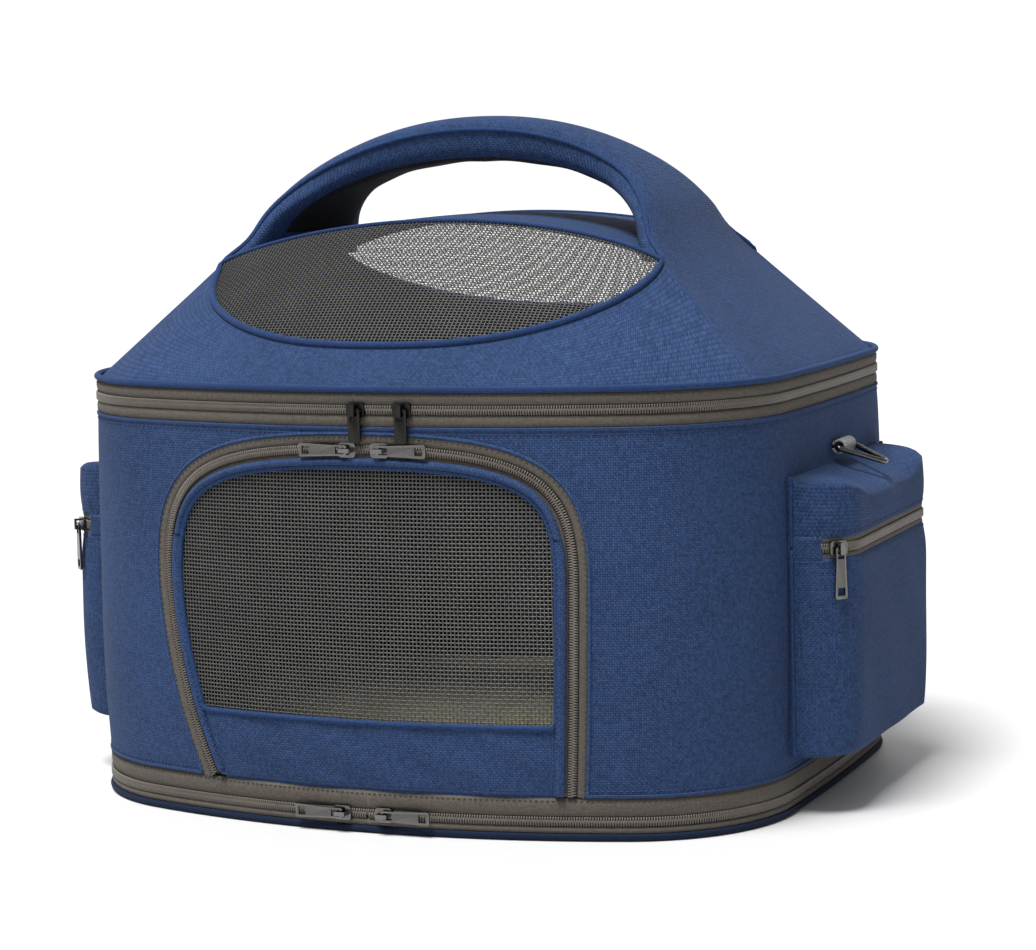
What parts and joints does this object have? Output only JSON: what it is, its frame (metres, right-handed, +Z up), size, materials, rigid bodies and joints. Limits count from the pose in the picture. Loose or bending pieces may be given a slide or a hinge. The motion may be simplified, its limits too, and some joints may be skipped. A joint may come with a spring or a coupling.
{
  "type": "pet carrier bag",
  "caption": "Soft-sided pet carrier: bowed box with unzipping domed lid and padded arched handle, drop-down mesh door, zip-off base and side pockets.",
  "frame": {"origin": "middle of the underside, on the floor the bag stands on", "axes": "+Z up, -Y towards the door, +X to the bag's right seen from the front"},
  "size_m": [0.509, 0.4081, 0.405],
  "materials": {
    "fabric": "melange oxford weave, matt",
    "piping": "bias-bound cord, matt",
    "tape": "woven zip tape and nylon coil, matt",
    "mesh": "coarse woven see-through mesh",
    "lining": "plain lining cloth",
    "board": "stiff sheet",
    "pad": "quilted pad, matt",
    "foam": "soft foam over webbing",
    "webbing": "ribbed webbing",
    "gunmetal": "dark plated, satin"
  },
  "bodies": {
    "base": {"base_panel": "fabric", "base_piping": "piping", "base_tape": "tape", "base_board": "board", "floor_pad": "pad"},
    "body": {"outer_wall": "fabric", "inner_lining": "lining", "body_base_tape": "tape", "body_lid_tape": "tape", "door_frame_tape": "tape", "right_pocket_box": "fabric", "left_pocket_box": "fabric", "right_pocket_tape": "tape", "left_pocket_tape": "tape", "right_ring_tab": "webbing", "left_ring_tab": "webbing"},
    "lid": {"lid_front_panel": "fabric", "lid_back_panel": "fabric", "lid_front_mesh": "mesh", "lid_back_mesh": "mesh", "front_window_piping": "piping", "back_window_piping": "piping", "right_gusset": "fabric", "left_gusset": "fabric", "roof_panel": "fabric", "lid_piping": "piping", "lid_tape": "tape", "handle_cover": "fabric", "handle_core": "foam"},
    "door": {"door_panel": "fabric", "door_mesh": "mesh", "door_piping": "piping", "door_tape": "tape"},
    "lid_slider_left": {"lid_slider_left": "gunmetal"},
    "lid_pull_left": {"lid_pull_left": "gunmetal"},
    "lid_slider_right": {"lid_slider_right": "gunmetal"},
    "lid_pull_right": {"lid_pull_right": "gunmetal"},
    "door_slider_left": {"door_slider_left": "gunmetal"},
    "door_pull_left": {"door_pull_left": "gunmetal"},
    "door_slider_right": {"door_slider_right": "gunmetal"},
    "door_pull_right": {"door_pull_right": "gunmetal"},
    "base_slider_left": {"base_slider_left": "gunmetal"},
    "base_pull_left": {"base_pull_left": "gunmetal"},
    "base_slider_right": {"base_slider_right": "gunmetal"},
    "base_pull_right": {"base_pull_right": "gunmetal"},
    "right_hood": {"right_hood": "fabric", "right_hood_tape": "tape"},
    "right_pocket_slider": {"right_pocket_slider": "gunmetal"},
    "right_pocket_pull": {"right_pocket_pull": "gunmetal"},
    "right_ring": {"right_ring": "gunmetal"},
    "left_hood": {"left_hood": "fabric", "left_hood_tape": "tape"},
    "left_pocket_slider": {"left_pocket_slider": "gunmetal"},
    "left_pocket_pull": {"left_pocket_pull": "gunmetal"},
    "left_ring": {"left_ring": "gunmetal"}
  },
  "joints": [
    {"name": "base_hinge", "type": "hinge", "parent": "base", "child": "body", "pos_m": [0, 0.2015, 0.011], "axis": [-1, 0, 0], "range_deg": [0, 90]},
    {"name": "lid_hinge", "type": "hinge", "parent": "body", "child": "lid", "pos_m": [0, 0.2015, 0.2424], "axis": [-1, 0, 0], "range_deg": [0, 170]},
    {"name": "door_hinge", "type": "hinge", "parent": "body", "child": "door", "pos_m": [0, -0.2015, 0.0253], "axis": [1, 0, 0], "range_deg": [0, 90]},
    {"name": "lid_zip_left", "type": "hinge", "parent": "body", "child": "lid_slider_left", "pos_m": [0, 0.31069, 0.2424], "axis": [0, 0, 1], "range_deg": [-15, 0]},
    {"name": "lid_pull_turn_left", "type": "hinge", "parent": "lid_slider_left", "child": "lid_pull_left", "pos_m": [0.00101, -0.2039, 0.2424], "axis": [-1, -0.002, 0], "range_deg": [0, 150]},
    {"name": "lid_zip_right", "type": "hinge", "parent": "body", "child": "lid_slider_right", "pos_m": [0, 0.31069, 0.2424], "axis": [0, 0, 1], "range_deg": [0, 12]},
    {"name": "lid_pull_turn_right", "type": "hinge", "parent": "lid_slider_right", "child": "lid_pull_right", "pos_m": [0.02921, -0.20307, 0.2424], "axis": [-0.9984, -0.0568, 0], "range_deg": [0, 150]},
    {"name": "door_zip_left", "type": "hinge", "parent": "door", "child": "door_slider_left", "pos_m": [0, 0.31069, 0.2197], "axis": [0, 0, 1], "range_deg": [-3, 0]},
    {"name": "door_pull_turn_left", "type": "hinge", "parent": "door_slider_left", "child": "door_pull_left", "pos_m": [-0.00504, -0.20388, 0.2197], "axis": [0, 0, 1], "range_deg": [0, 120]},
    {"name": "door_zip_right", "type": "hinge", "parent": "door", "child": "door_slider_right", "pos_m": [0, 0.31069, 0.2197], "axis": [0, 0, 1], "range_deg": [0, 3]},
    {"name": "door_pull_turn_right", "type": "hinge", "parent": "door_slider_right", "child": "door_pull_right", "pos_m": [0.01511, -0.20368, 0.2197], "axis": [0, 0, -1], "range_deg": [0, 120]},
    {"name": "base_zip_left", "type": "hinge", "parent": "base", "child": "base_slider_left", "pos_m": [0, 0.31069, 0.011], "axis": [0, 0, 1], "range_deg": [-13, 0]},
    {"name": "base_pull_turn_left", "type": "hinge", "parent": "base_slider_left", "child": "base_pull_left", "pos_m": [-0.01511, -0.20368, 0.011], "axis": [0, 0, 1], "range_deg": [0, 120]},
    {"name": "base_zip_right", "type": "hinge", "parent": "base", "child": "base_slider_right", "pos_m": [0, 0.31069, 0.011], "axis": [0, 0, 1], "range_deg": [0, 13]},
    {"name": "base_pull_turn_right", "type": "hinge", "parent": "base_slider_right", "child": "base_pull_right", "pos_m": [0.01108, -0.20378, 0.011], "axis": [0, 0, -1], "range_deg": [0, 120]},
    {"name": "right_hood_lift", "type": "hinge", "parent": "body", "child": "right_hood", "pos_m": [0.2205, 0, 0.196], "axis": [0, -1, 0], "range_deg": [0, 14]},
    {"name": "right_pocket_zip", "type": "hinge", "parent": "right_hood", "child": "right_pocket_slider", "pos_m": [0.2265, -0.067, 0.156], "axis": [0, 0, 1], "range_deg": [-25, 45]},
    {"name": "right_pocket_pull_turn", "type": "hinge", "parent": "right_pocket_slider", "child": "right_pocket_pull", "pos_m": [0.24906, -0.08956, 0.156], "axis": [-0.7071, -0.7071, 0], "range_deg": [0, 150]},
    {"name": "right_ring_turn", "type": "hinge", "parent": "body", "child": "right_ring", "pos_m": [0.2255, 0, 0.205], "axis": [0, -1, 0], "range_deg": [0, 105]},
    {"name": "left_hood_lift", "type": "hinge", "parent": "body", "child": "left_hood", "pos_m": [-0.2205, 0, 0.196], "axis": [0, 1, 0], "range_deg": [0, 14]},
    {"name": "left_pocket_zip", "type": "hinge", "parent": "left_hood", "child": "left_pocket_slider", "pos_m": [-0.2265, -0.067, 0.156], "axis": [0, 0, -1], "range_deg": [-25, 45]},
    {"name": "left_pocket_pull_turn", "type": "hinge", "parent": "left_pocket_slider", "child": "left_pocket_pull", "pos_m": [-0.24906, -0.08956, 0.156], "axis": [-0.7071, 0.7071, 0], "range_deg": [0, 150]},
    {"name": "left_ring_turn", "type": "hinge", "parent": "body", "child": "left_ring", "pos_m": [-0.2255, 0, 0.205], "axis": [0, 1, 0], "range_deg": [0, 105]}
  ]
}
